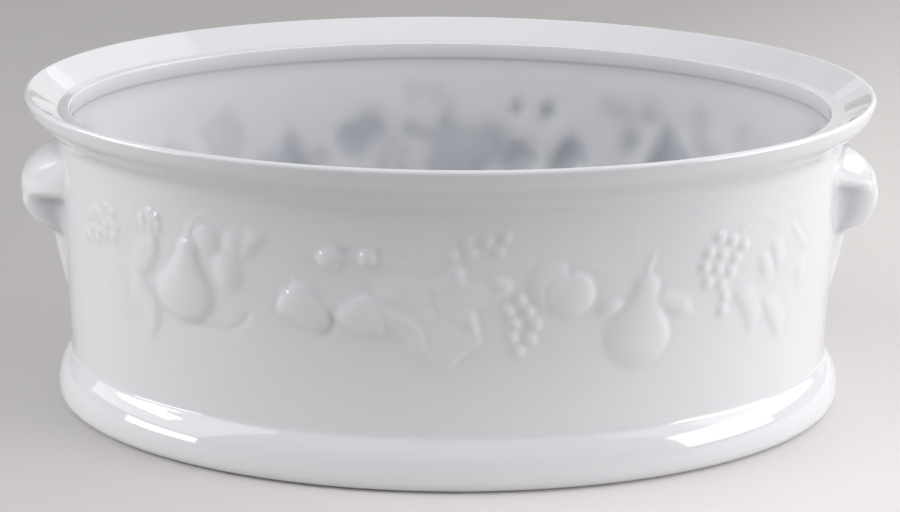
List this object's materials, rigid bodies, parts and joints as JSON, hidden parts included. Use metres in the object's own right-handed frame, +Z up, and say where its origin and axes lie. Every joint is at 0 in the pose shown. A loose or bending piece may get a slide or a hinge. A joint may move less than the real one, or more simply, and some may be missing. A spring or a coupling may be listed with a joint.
{
  "type": "casserole dish",
  "caption": "Oval white porcelain casserole dish with a flared rim, a lid seat, ear lugs at both ends and a moulded fruit garland.",
  "frame": {"origin": "on the table, under the middle of the dish", "axes": "+X along the length to the right-hand lug, +Z up, the front faces -Y"},
  "size_m": [0.3076, 0.2, 0.1155],
  "materials": {
    "porcelain": "clear gloss glaze, bare ring under the foot"
  },
  "bodies": {
    "root": {"casserole_dish": "porcelain"}
  },
  "joints": []
}
